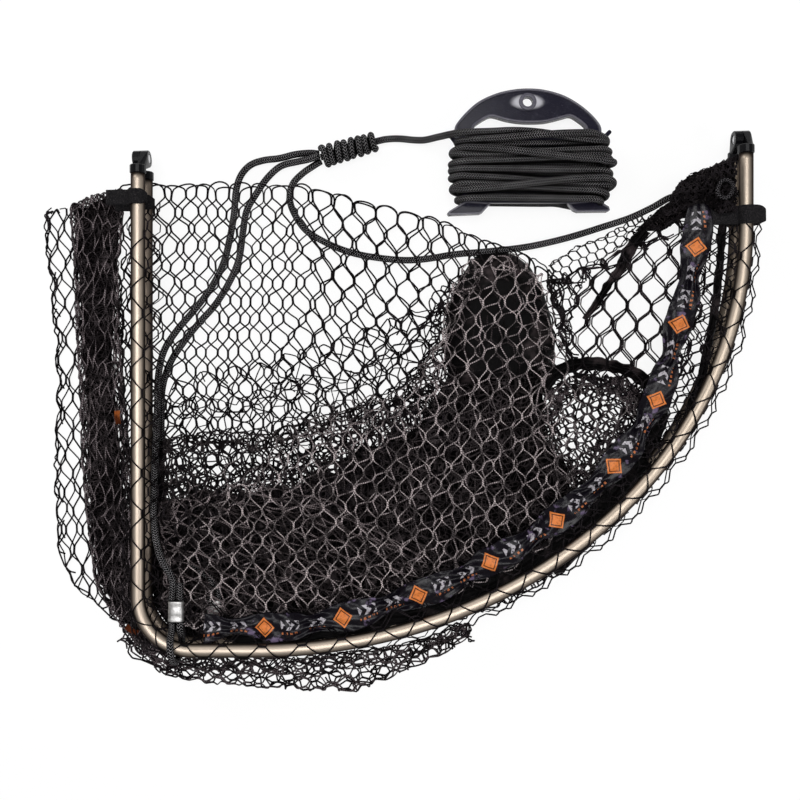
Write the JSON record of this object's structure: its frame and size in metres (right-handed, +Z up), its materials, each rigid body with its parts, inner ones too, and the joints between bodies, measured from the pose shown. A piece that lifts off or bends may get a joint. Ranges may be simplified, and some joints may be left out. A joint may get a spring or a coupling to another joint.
{
  "type": "folding drop net",
  "caption": "Folding hoop net on a hinged tube ring, packed flat, with a rope bridle, wound line and a line winder.",
  "frame": {"origin": "under the middle of the net, ring and winder, on the floor; the bridle and the rope are left out of that middle", "axes": "+X along the hinge line's long way, towards the round end's upright; +Y towards the hinges and the winder; +Z up from the floor"},
  "size_m": [0.7379, 0.6264, 0.0621],
  "materials": {
    "champagne_aluminium": "champagne anodised, satin",
    "black_plastic": "moulded, glossy black",
    "steel": "bright",
    "silver_ferrule": "bright, crimped",
    "black_rope": "braided black cord",
    "black_netting": "twisted black twine",
    "satin_ribbon": "dark satin ribbon",
    "hook_and_loop": "fuzzy black hook-and-loop tape",
    "winder_plastic": "moulded, glossy blue-black"
  },
  "bodies": {
    "rear_half": {"frame_tube_rear": "champagne_aluminium", "hinge_fitting_rear_left": "black_plastic", "hinge_fitting_rear_right": "black_plastic", "hinge_pin_left": "steel", "hinge_pin_right": "steel", "hinge_washer_left": "steel", "hinge_washer_right": "steel", "net_lower_panel": "black_netting", "net_bag_folds": "black_netting", "base_patch": "satin_ribbon", "sleeve_gather_left": "black_netting", "hem_ribbon_rear": "satin_ribbon", "strap_rear_left": "hook_and_loop", "strap_rear_right": "hook_and_loop", "bridle_leg_rear": "black_rope", "bridle_leg_tip": "black_rope", "ferrule_rear": "silver_ferrule", "ferrule_tip": "silver_ferrule", "bridle_loop_rear": "black_rope", "bridle_loop_tip": "black_rope", "bridle_tail_rear": "black_rope", "bridle_tail_tip": "black_rope", "bridle_knot": "black_rope", "main_rope": "black_rope", "rope_winding": "black_rope", "rope_winding_core": "black_rope", "line_winder": "winder_plastic"},
    "front_half": {"frame_tube_front": "champagne_aluminium", "hinge_fitting_front_left": "black_plastic", "hinge_fitting_front_right": "black_plastic", "net_front_sleeve": "black_netting", "sleeve_gather_right": "hook_and_loop", "hem_ribbon_front": "satin_ribbon", "strap_front_left": "hook_and_loop", "strap_front_right": "hook_and_loop", "bridle_leg_front": "black_rope", "ferrule_front": "silver_ferrule", "bridle_loop_front": "black_rope", "bridle_tail_front": "black_rope"}
  },
  "joints": [
    {"name": "frame_fold", "type": "hinge", "parent": "rear_half", "child": "front_half", "pos_m": [0.048, 0.24845, 0.0322], "axis": [-0.9995, -0.033, 0], "range_deg": [0, 180], "deforming": ["bridle_leg_front"]}
  ]
}
